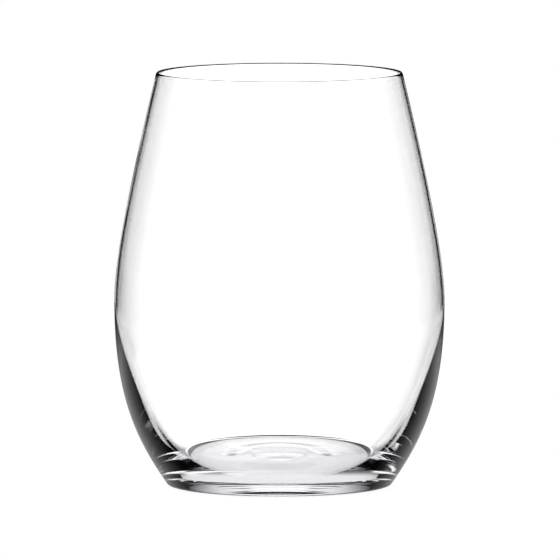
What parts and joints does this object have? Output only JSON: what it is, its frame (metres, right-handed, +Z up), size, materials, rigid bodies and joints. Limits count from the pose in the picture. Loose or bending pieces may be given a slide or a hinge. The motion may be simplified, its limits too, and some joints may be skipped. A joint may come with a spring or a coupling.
{
  "type": "glass tumbler",
  "caption": "Stemless, egg-shaped clear glass tumbler: round belly, wall leaning in to a rounded rim, heavy rounded base. Holds a drink.",
  "frame": {"origin": "middle of the flat ring that the foot stands on, at table level", "axes": "+Z up along the axis of revolution, from the foot to the rim; X and Y lie in the table plane and are interchangeable"},
  "size_m": [0.0838, 0.0838, 0.105],
  "materials": {
    "clear_glass": "clear colourless soda-lime glass, fire-polished and glossy inside and out"
  },
  "bodies": {
    "root": {"tumbler": "clear_glass"}
  },
  "joints": []
}
